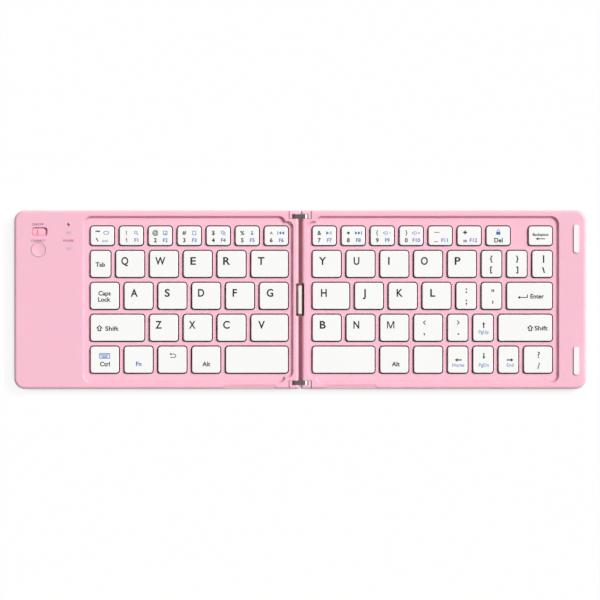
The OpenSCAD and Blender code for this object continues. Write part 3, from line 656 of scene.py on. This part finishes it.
class KEYBOARD_OT_case_finish(bpy.types.Operator):
    """Gives shells, hinge housings, controls, bumpers and feet their finishes"""
    bl_idname = "keyboard.case_finish"
    bl_label = "Finish the case"

    def execute(self, context):
        colours = context.scene.keyboard_colours
        # Moulded ABS with a fine spark-eroded texture: even, softly matt, a broad highlight.
        # The real grain is near 0.05 mm, drawn at 0.35 mm so that it shows
        # Painted shade: an occlusion node deepens the pink in grooves and corners, standing in for
        # the light that goes from wall to wall there
        painted_groove_shade = (colours.painted_groove_shade, 2.0, 0.95)
        case = surface("moulded_abs_pink", colours.case, 0.46, 0.35, 0.004, 0.012, 0.05,
                       painted_groove_shade=painted_groove_shade, IOR=1.53, **{"Subsurface Weight": 0.4,
                                                    "Subsurface Scale": 2.0 * MM,
                                                    "Subsurface Radius": (1.0, 0.15, 0.2)})
        assign(case, "left_case_top", "left_case_bottom", "right_case_top", "right_case_bottom",
               "power_slider", "pairing_button")
        # Die-cast zinc with satin paint: the case's colour, smoother, with a faint orange peel, and
        # the same painted shade in its grooves
        paint = surface("painted_zinc_pink", colours.case, 0.36, 0.9, 0.006, 0.01, 0.03,
                        painted_groove_shade=painted_groove_shade, IOR=1.5, **{"Coat Weight": 0.15, "Coat Roughness": 0.3})
        assign(paint, "left_hinge_brackets", "right_hinge_brackets")
        # Moulded silicone rubber: soft white, with a trace of pink painted into it as painted
        # bounce light from the pink case around it
        rubber = surface("moulded_silicone_white", colours.bumper, 0.62, 0.4, 0.004, 0.01, 0.05,
                         IOR=1.41, **{"Sheen Weight": 0.08})
        assign(rubber, "end_bumpers")
        feet = surface("moulded_rubber_grey", linear("CFCBCB"), 0.7, 0.3, 0.005, 0.03, 0.06,
                       IOR=1.5, **{"Sheen Weight": 0.1})
        assign(feet, "left_feet", "right_feet")
        # Frosted polycarbonate light guides: pale, with light scattered inside
        lens = surface("frosted_polycarbonate", linear("DBB6C6"), 0.4, 0.3, 0.002, 0.02, 0.05,
                       IOR=1.58, **{"Subsurface Weight": 0.3, "Subsurface Scale": 0.6 * MM})
        assign(lens, "indicator_lenses")
        return {"FINISHED"}


class KEYBOARD_OT_cap_finish(bpy.types.Operator):
    """Gives the key caps their finish"""
    bl_idname = "keyboard.cap_finish"
    bl_label = "Finish the key caps"

    def execute(self, context):
        # Moulded ABS, lightly textured: clean white with a soft sheen on its rounded edges. Down in
        # the gaps it is painted dark by an occlusion node, painted shade, so that every cap stands
        # in a thin dark outline
        colours = context.scene.keyboard_colours
        cap = surface("moulded_abs_white", colours.cap, 0.42, 0.3, 0.003, 0.008, 0.05,
                      painted_groove_shade=(colours.painted_gap_shade, 1.0, 0.8), IOR=1.53)
        assign(cap, *key_nodes())
        return {"FINISHED"}


class KEYBOARD_OT_hinge_finish(bpy.types.Operator):
    """Gives links, pins, guard bar and the metal and electrical parts inside their finishes"""
    bl_idname = "keyboard.hinge_finish"
    bl_label = "Finish hinge and inner parts"

    # Where the sloping right end of a link begins, and the height above which its painted highlight
    # lies
    SLOPE_FROM_MM = 2.85
    PAINTED_HIGHLIGHT_ABOVE_MM = 7.2

    def execute(self, context):
        assign(self.link_material(), "hinge_links")
        # Ground steel pins and zinc-plated screws: bright, with a faint turning grain
        pin = surface("ground_steel", linear("C9C9CC"), 0.24, 0.15, 0.001, 0.05, 0.06, Metallic=1.0)
        assign(pin, "hinge_pins")
        screw = surface("zinc_plated_steel", linear("BFC1C6"), 0.33, 0.4, 0.003, 0.08, 0.1,
                        Metallic=1.0)
        assign(screw, "left_screws", "right_screws")
        # Cold-rolled sheet steel of the key plates: dull, streaked along the rolling
        plate = surface("rolled_sheet_steel", linear("8E9094"), 0.45, 0.5, 0.002, 0.08, 0.1,
                        (0.1, 1, 1), Metallic=1.0)
        assign(plate, "left_key_plate", "right_key_plate")
        # Moulded guard bar: off-white, satin
        guard = surface("moulded_pom_ivory", linear("EAE1DC"), 0.38, 0.4, 0.002, 0.01, 0.04)
        assign(guard, "cable_guard")
        # Contact membrane with silicone domes: its dark maroon is painted shade, so that the gaps
        # round the caps read as shaded lines
        domes = surface("moulded_silicone_dark", linear("5E1A2C"), 0.7, 0.5, 0.004, 0.08, 0.06,
                        IOR=1.41, **{"Specular IOR Level": 0.2})
        assign(domes, "left_dome_sheet", "right_dome_sheet")
        # Nickel-plated stamped steel of the socket
        nickel = surface("nickel_plated_steel", linear("C8C5BE"), 0.26, 0.5, 0.001, 0.04, 0.06,
                         Metallic=1.0)
        assign(nickel, "charging_socket")
        # Aluminium laminate pouch: silvery, slightly creased
        pouch = surface("laminate_foil", linear("C4C6CA"), 0.34, 2.5, 0.05, 0.05, 0.08,
                        Metallic=0.8)
        assign(pouch, "battery")
        assign(self.board_material(), "main_board", "link_board")
        return {"FINISHED"}

    def link_material(self):
        """Blackened steel, brushed along the link: dark grey with fine streaks. The sloping end on
        the right is painted near white: a painted highlight of the lamp on that slope."""
        material = surface("brushed_dark_steel", linear("5F5957"), 0.36, 0.12, 0.002, 0.12, 0.08,
                           (0.08, 1, 1), Metallic=1.0)
        tree, shader, dark, place = shader_parts(material)
        axes = new_node(tree, "ShaderNodeSeparateXYZ", {0: place.outputs["Object"]})
        # Painted highlight: the right slope is painted near white, the left one left dark
        slope = new_node(tree, "ShaderNodeMapRange",
                         {"Value": axes.outputs["X"], "From Min": (self.SLOPE_FROM_MM - 0.05) * MM,
                          "From Max": (self.SLOPE_FROM_MM + 0.05) * MM})
        upward = new_node(tree, "ShaderNodeMath", {0: axes.outputs["Z"],
                                                   1: self.PAINTED_HIGHLIGHT_ABOVE_MM * MM},
                          operation="GREATER_THAN")
        painted_highlight = new_node(tree, "ShaderNodeMath", {0: slope.outputs[0], 1: upward.outputs[0]},
                        operation="MULTIPLY")
        mixed = new_node(tree, "ShaderNodeMix", {"Factor": painted_highlight.outputs[0], "A": dark},
                         data_type="RGBA")
        mixed.inputs["B"].default_value = rgba(linear("F2F0EE"))
        tree.links.new(mixed.outputs["Result"], shader.inputs["Base Color"])
        return material

    def board_material(self):
        """Glass-fibre board under green solder mask, with dark parts on top of it."""
        board_top = 3.6 * MM
        board = surface("solder_mask_board", linear("1F5A3A"), 0.3, 0.6, 0.003, 0.1, 0.06,
                        IOR=1.5)
        tree, shader, mask, place = shader_parts(board)
        axes = new_node(tree, "ShaderNodeSeparateXYZ", {0: place.outputs["Object"]})
        above = new_node(tree, "ShaderNodeMath", {0: axes.outputs["Z"], 1: board_top + 0.02 * MM},
                         operation="GREATER_THAN")
        parts = new_node(tree, "ShaderNodeMix", {"Factor": above.outputs[0], "A": mask},
                         data_type="RGBA")
        parts.inputs["B"].default_value = rgba(linear("26262A"))
        tree.links.new(parts.outputs["Result"], shader.inputs["Base Color"])
        return board


class KEYBOARD_OT_flat_cable(bpy.types.Operator):
    """Makes the flat cable in two stretches, each shaped round one of the two pivots"""
    bl_idname = "keyboard.flat_cable"
    bl_label = "Make the flat cable"

    # Height plan of one stretch, as distance from the middle and height, from the guard bar inwards
    ROUTE_MM = ((0.0, 5.3), (0.55, 5.3), (0.8, 5.33), (0.98, 5.45), (1.1, 5.65), (1.22, 5.88),
                (1.38, 6.02), (1.56, 6.04), (1.72, 5.92), (1.82, 5.68), (1.88, 5.3), (1.92, 4.7),
                (1.95, 4.0), (2.0, 3.2), (2.15, 2.55), (2.45, 2.05), (2.95, 1.8), (3.6, 1.75))
    # Its rise onto the board, as distance past the board's edge and height
    RISE_MM = ((-2.3, 1.75), (-1.8, 2.2), (-1.5, 3.2), (-1.1, 3.85), (-0.5, 4.0), (1.8, 4.0))
    HALF_WIDTH_MM = 7.5
    THICKNESS_MM = 0.2

    def execute(self, context):
        material = self.film_material()
        board_edge_mm = -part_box("main_board")[1].x / MM
        right_end_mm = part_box("right_flex_cable")[1].x / MM
        left_end = [(board_edge_mm + x, z) for x, z in self.RISE_MM]
        self.stretch("flat_cable_left", -1, left_end, "left_half", "hinge",
                     ("left_flex_cable", "flex_cable_bridge"), material)
        self.stretch("flat_cable_right", 1, [(right_end_mm, 1.75)], "hinge", "right_half",
                     ("right_flex_cable", "flex_cable_bridge"), material)
        return {"FINISHED"}

    def stretch(self, name, side, end, body_a, body_b, replaced, material):
        route = [Vector((side * x * MM, 0, z * MM)) for x, z in (*self.ROUTE_MM, *end)]
        half = self.HALF_WIDTH_MM * MM
        deselect_all()
        bpy.ops.mesh.primitive_plane_add(size=1, location=(0, 0, 0))
        obj = bpy.context.object
        bpy.ops.object.mode_set(mode="EDIT")
        bpy.ops.mesh.select_all(action="SELECT")
        bpy.ops.transform.resize(value=(abs(route[1].x - route[0].x), 2 * half, 1))
        bpy.ops.transform.translate(value=(route[0] + route[1]) / 2)
        bpy.ops.mesh.select_all(action="DESELECT")
        bpy.ops.object.mode_set(mode="OBJECT")
        for vertex in obj.data.vertices:
            vertex.select = abs(vertex.co.x - route[1].x) < 1e-6
        for edge in obj.data.edges:
            edge.select = all(obj.data.vertices[i].select for i in edge.vertices)
        bpy.ops.object.mode_set(mode="EDIT")
        for last, point in zip(route[1:], route[2:]):
            bpy.ops.mesh.extrude_region_move(TRANSFORM_OT_translate={"value": point - last})
        bpy.ops.mesh.select_all(action="SELECT")
        bpy.ops.mesh.remove_doubles(threshold=1e-7)
        bpy.ops.mesh.normals_make_consistent(inside=False)
        bpy.ops.object.mode_set(mode="OBJECT")
        thick = obj.modifiers.new("thickness", "SOLIDIFY")
        thick.thickness = self.THICKNESS_MM * MM
        thick.offset = 0
        bpy.ops.object.modifier_apply(modifier="thickness")
        bpy.ops.object.transform_apply(location=True, rotation=True, scale=True)
        obj.name = obj.data.name = name
        closed_and_outward(obj)
        bpy.ops.object.shade_smooth_by_angle(angle=math.radians(35))
        finish_piece(obj, material)
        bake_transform(obj)
        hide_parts(*replaced)

    def film_material(self):
        """Polyimide film over flat copper: dark amber-brown with fine lengthwise lines."""
        conductor_pitch = 0.5 * MM
        material = surface("polyimide_film", linear("2E1418"), 0.34, 0.5, 0.0, 0.1, 0.05, IOR=1.7)
        tree, shader, film, place = shader_parts(material)
        lines = new_node(tree, "ShaderNodeTexWave", {"Vector": place.outputs["Object"],
                                                     "Scale": math.pi / 10 / conductor_pitch},
                         bands_direction="Y")
        share = new_node(tree, "ShaderNodeMapRange", {"Value": lines.outputs["Fac"],
                                                      "From Min": 0.35, "From Max": 0.65})
        mixed = new_node(tree, "ShaderNodeMix", {"Factor": share.outputs[0], "A": film},
                         data_type="RGBA")
        mixed.inputs["B"].default_value = rgba(linear("4A2620"))
        tree.links.new(mixed.outputs["Result"], shader.inputs["Base Color"])
        bump = new_node(tree, "ShaderNodeBump", {"Height": lines.outputs["Fac"], "Strength": 1.0,
                                                 "Distance": 0.02 * MM})
        tree.links.new(bump.outputs[0], shader.inputs["Normal"])
        return material


class KEYBOARD_OT_cap_marks(bpy.types.Operator):
    """Prints letters, digits and signs on the caps"""
    bl_idname = "keyboard.cap_marks"
    bl_label = "Print the caps"

    def execute(self, context):
        pitch, number_pitch = key_grid()
        marks = {}
        for rows, start in ((LEFT_ROWS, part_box("key_tab")[0].x),
                            (RIGHT_ROWS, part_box("key_space_right")[0].x)):
            for row_node, row in rows:
                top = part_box(row_node)[1].y
                x = start
                for node, width, key_marks in row:
                    surface_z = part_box(node)[1].z
                    self.print_key(context, marks, node, Vector((x, top, surface_z)), key_marks)
                    x += number_pitch if width is NUMBER_WIDTH else width * pitch
        low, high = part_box("key_backspace")
        self.print_key(context, marks, "key_backspace", Vector((low.x, high.y, high.z)),
                       BACKSPACE_MARKS)
        # Pad-printed ink: a thin matt film on the cap
        inks = {"ink": pad_print("pad_print_black", context.scene.keyboard_colours.ink),
                "function": pad_print("pad_print_blue",
                                      context.scene.keyboard_colours.function_ink)}
        for (node, ink), objects in marks.items():
            piece = joined(objects, f"marks_{ink}_{node}")
            finish_piece(piece, inks[ink])
            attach(piece, node)
        return {"FINISHED"}

    def print_key(self, context, marks, node, corner, key_marks):
        settings = context.scene.keyboard_marks
        depth = settings.ink_height + settings.ink_depth
        for kind, content, x_mm, y_mm, size, ink in key_marks:
            name, share, weight, width = MARK_SIZES[size]
            if content in LETTERS:
                width *= LETTERS[content][1]
            height = getattr(settings, name) * share
            centre = corner + Vector((x_mm * MM, -y_mm * MM,
                                      settings.ink_height - depth / 2))
            if kind == "sign":
                obj = printed_sign(SIGNS[content], centre, height, depth)
            else:
                obj = printed_text(content, centre, height, depth, weight, width, kind == "word")
            marks.setdefault((node, ink), []).append(obj)


def pad_print(name, ink):
    return surface(name, ink, 0.7, 0.25, 0.0, 0.05, 0.08, IOR=1.5, **{"Specular IOR Level": 0.2})


class KEYBOARD_OT_panel_marks(bpy.types.Operator):
    """Prints the labels of the switch, the button and the lamps on the control panel"""
    bl_idname = "keyboard.panel_marks"
    bl_label = "Print the panel"

    # How much the strokes are thickened on each side, as a share of the height
    WEIGHT = 0.03
    # Word or sign, its middle and its height in millimetres, and its colour
    LABELS_MM = (
        ("word", "ON/OFF", -139.7, 40.1, 1.15, "rose"),
        ("word", "CONNECT", -139.5, 31.4, 1.05, "rose"),
        ("word", "POWER", -123.3, 31.4, 1.1, "rose"),
        ("sign", "bolt", -123.4, 40.0, 2.4, "plum"),
    )

    def execute(self, context):
        settings = context.scene.keyboard_marks
        depth = settings.ink_height + settings.ink_depth
        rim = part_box("left_case_top")[1].z
        marks = {}
        for kind, content, x_mm, y_mm, height_mm, ink in self.LABELS_MM:
            centre = Vector((x_mm * MM, y_mm * MM, rim + settings.ink_height - depth / 2))
            if kind == "sign":
                obj = printed_sign(SIGNS[content], centre, height_mm * MM, depth)
            else:
                obj = printed_text(content, centre, height_mm * MM, depth, self.WEIGHT, 1, True)
            marks.setdefault(ink, []).append(obj)
        # Screen-printed: the words faint in a darker pink, the charging sign dark
        for ink, value in (("rose", "A8607C"), ("plum", "5A2A3C")):
            piece = joined(marks[ink], f"marks_panel_{ink}")
            finish_piece(piece, pad_print(f"screen_print_{ink}", linear(value)))
            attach(piece, "left_half")
        return {"FINISHED"}


class KEYBOARD_OT_stage(bpy.types.Operator):
    """Sets up floor, world, lamp and the camera above the keyboard"""
    bl_idname = "keyboard.stage"
    bl_label = "Set up the stage"

    # Middle of the picture on the keyboard
    VIEW_CENTRE_MM = (-0.107, -0.186)
    # Direction that the key lamp shines from
    KEY_FROM = (2.6, 1.65, 3.5)
    # Reach of the occlusion that fades the floor's glow near the keyboard, and the pink painted
    # into that glow in the hinge gap as painted bounce light from the pink walls
    OCCLUSION_REACH_MM = 5
    PAINTED_GAP_BOUNCE_COLOUR = "C9506C"

    def execute(self, context):
        stage = context.scene.keyboard_stage
        context.scene.view_settings.view_transform = "Standard"
        self.floor(stage)
        self.world(context, stage)
        self.key_lamp(stage)
        self.camera(context, stage)
        return {"FINISHED"}

    def floor(self, stage):
        deselect_all()
        bpy.ops.mesh.primitive_plane_add(size=stage.floor_size, location=(0, 0, 0))
        floor = bpy.context.object
        floor.name = floor.data.name = "table"
        # Matt white laminate that the camera sees almost white, with the object's shadow left in
        material, tree, output = new_material("white_laminate")
        place = new_node(tree, "ShaderNodeTexCoord")
        grain = new_node(tree, "ShaderNodeTexNoise", {"Vector": place.outputs["Object"],
                                                      "Scale": 1 / (6 * MM)})
        tone = new_node(tree, "ShaderNodeMapRange", {"Value": grain.outputs["Fac"],
                                                     "To Min": 0.89, "To Max": 0.93})
        diffuse = new_node(tree, "ShaderNodeBsdfDiffuse", {"Color": tone.outputs[0]})
        glow = new_node(tree, "ShaderNodeEmission", {"Strength": 1.0})
        # The lift fades out beside the keyboard, so its shadow stays. In the hinge gap the glow is
        # painted in the case's pink: painted bounce light, for the light that comes only from the
        # pink walls
        open_air = new_node(tree, "ShaderNodeAmbientOcclusion",
                            {"Distance": self.OCCLUSION_REACH_MM * MM})
        rose = new_node(tree, "ShaderNodeMapRange", {"Value": open_air.outputs["AO"],
                                                     "From Min": 0.25, "From Max": 0.5})
        painted_bounce_glow = new_node(tree, "ShaderNodeMix", {"Factor": rose.outputs[0]}, data_type="RGBA")
        painted_bounce_glow.inputs["A"].default_value = rgba(linear(self.PAINTED_GAP_BOUNCE_COLOUR))
        painted_bounce_glow.inputs["B"].default_value = (1, 1, 1, 1)
        tree.links.new(painted_bounce_glow.outputs["Result"], glow.inputs["Color"])
        lift = new_node(tree, "ShaderNodeMapRange", {"Value": open_air.outputs["AO"],
                                                     "From Min": 0.25, "From Max": 0.7,
                                                     "To Min": 0.22, "To Max": 0.93})
        seen = new_node(tree, "ShaderNodeMath", {0: self.seen_directly(tree), 1: lift.outputs[0]},
                        operation="MULTIPLY")
        mixed = new_node(tree, "ShaderNodeMixShader", {0: seen.outputs[0],
                                                       1: diffuse.outputs[0],
                                                       2: glow.outputs[0]})
        tree.links.new(mixed.outputs[0], output.inputs["Surface"])
        floor.data.materials.append(material)

    def world(self, context, stage):
        world = bpy.data.worlds.new("soft_white")
        context.scene.world = world
        world.use_nodes = True
        tree = world.node_tree
        tree.nodes.clear()
        strength = new_node(tree, "ShaderNodeMapRange", {"Value": self.seen_directly(tree),
                                                         "To Min": stage.fill_light,
                                                         "To Max": 1.0})
        sky = new_node(tree, "ShaderNodeBackground", {"Color": (1, 1, 1, 1),
                                                      "Strength": strength.outputs[0]})
        output = new_node(tree, "ShaderNodeOutputWorld")
        tree.links.new(sky.outputs[0], output.inputs["Surface"])

    def seen_directly(self, tree):
        """One for rays from the camera, from gloss and through clear parts, else zero."""
        path = new_node(tree, "ShaderNodeLightPath")
        seen = path.outputs["Is Camera Ray"]
        for other in ("Is Glossy Ray", "Is Transmission Ray"):
            either = new_node(tree, "ShaderNodeMath", {0: seen, 1: path.outputs[other]},
                              operation="MAXIMUM")
            seen = either.outputs[0]
        return seen

    def key_lamp(self, stage):
        """Soft light from the right and the rear, even over the whole keyboard."""
        bpy.ops.object.light_add(type="SUN", location=self.KEY_FROM)
        lamp = bpy.context.object
        lamp.name = lamp.data.name = "key_lamp"
        lamp.data.energy = stage.key_strength
        lamp.data.angle = stage.key_softness
        lamp.rotation_euler = (-Vector(self.KEY_FROM)).to_track_quat("-Z", "Y").to_euler()

    def camera(self, context, stage):
        cap_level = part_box("key_tab")[1].z
        x, y = (value * MM for value in self.VIEW_CENTRE_MM)
        bpy.ops.object.camera_add(location=(x, y, stage.camera_height))
        camera = bpy.context.object
        camera.name = camera.data.name = "camera"
        camera.data.sensor_width = 36.0
        distance = stage.camera_height - cap_level
        camera.data.lens = camera.data.sensor_width * distance / stage.view_width
        camera.data.clip_start = 0.1
        camera.data.clip_end = 20.0
        context.scene.camera = camera


class KEYBOARD_PT_looks(bpy.types.Panel):
    """Steps and settings of the keyboard's looks"""
    bl_idname = "KEYBOARD_PT_looks"
    bl_label = "Keyboard"
    bl_space_type = "VIEW_3D"
    bl_region_type = "UI"
    bl_category = "Keyboard"

    def draw(self, context):
        for group in ("keyboard_colours", "keyboard_marks", "keyboard_stage"):
            settings = getattr(context.scene, group)
            column = self.layout.column()
            for name in settings.__annotations__:
                column.prop(settings, name)
        for operator in OPERATORS:
            self.layout.operator(operator.bl_idname)


SIGNS = signs()
GROUPS = (KeyboardColours, KeyboardMarks, KeyboardStage)
OPERATORS = (KEYBOARD_OT_case_finish, KEYBOARD_OT_cap_finish, KEYBOARD_OT_hinge_finish,
             KEYBOARD_OT_flat_cable, KEYBOARD_OT_cap_marks, KEYBOARD_OT_panel_marks,
             KEYBOARD_OT_stage)
CLASSES = (*GROUPS, *OPERATORS, KEYBOARD_PT_looks)


def register():
    for cls in CLASSES:
        bpy.utils.register_class(cls)
    bpy.types.Scene.keyboard_colours = PointerProperty(type=KeyboardColours)
    bpy.types.Scene.keyboard_marks = PointerProperty(type=KeyboardMarks)
    bpy.types.Scene.keyboard_stage = PointerProperty(type=KeyboardStage)


def unregister():
    del bpy.types.Scene.keyboard_stage
    del bpy.types.Scene.keyboard_marks
    del bpy.types.Scene.keyboard_colours
    for cls in reversed(CLASSES):
        bpy.utils.unregister_class(cls)


def main():
    register()
    bpy.ops.keyboard.case_finish()
    bpy.ops.keyboard.cap_finish()
    bpy.ops.keyboard.hinge_finish()
    bpy.ops.keyboard.flat_cable()
    bpy.ops.keyboard.cap_marks()
    bpy.ops.keyboard.panel_marks()
    bpy.ops.keyboard.stage()


if __name__ == "__main__":
    main()
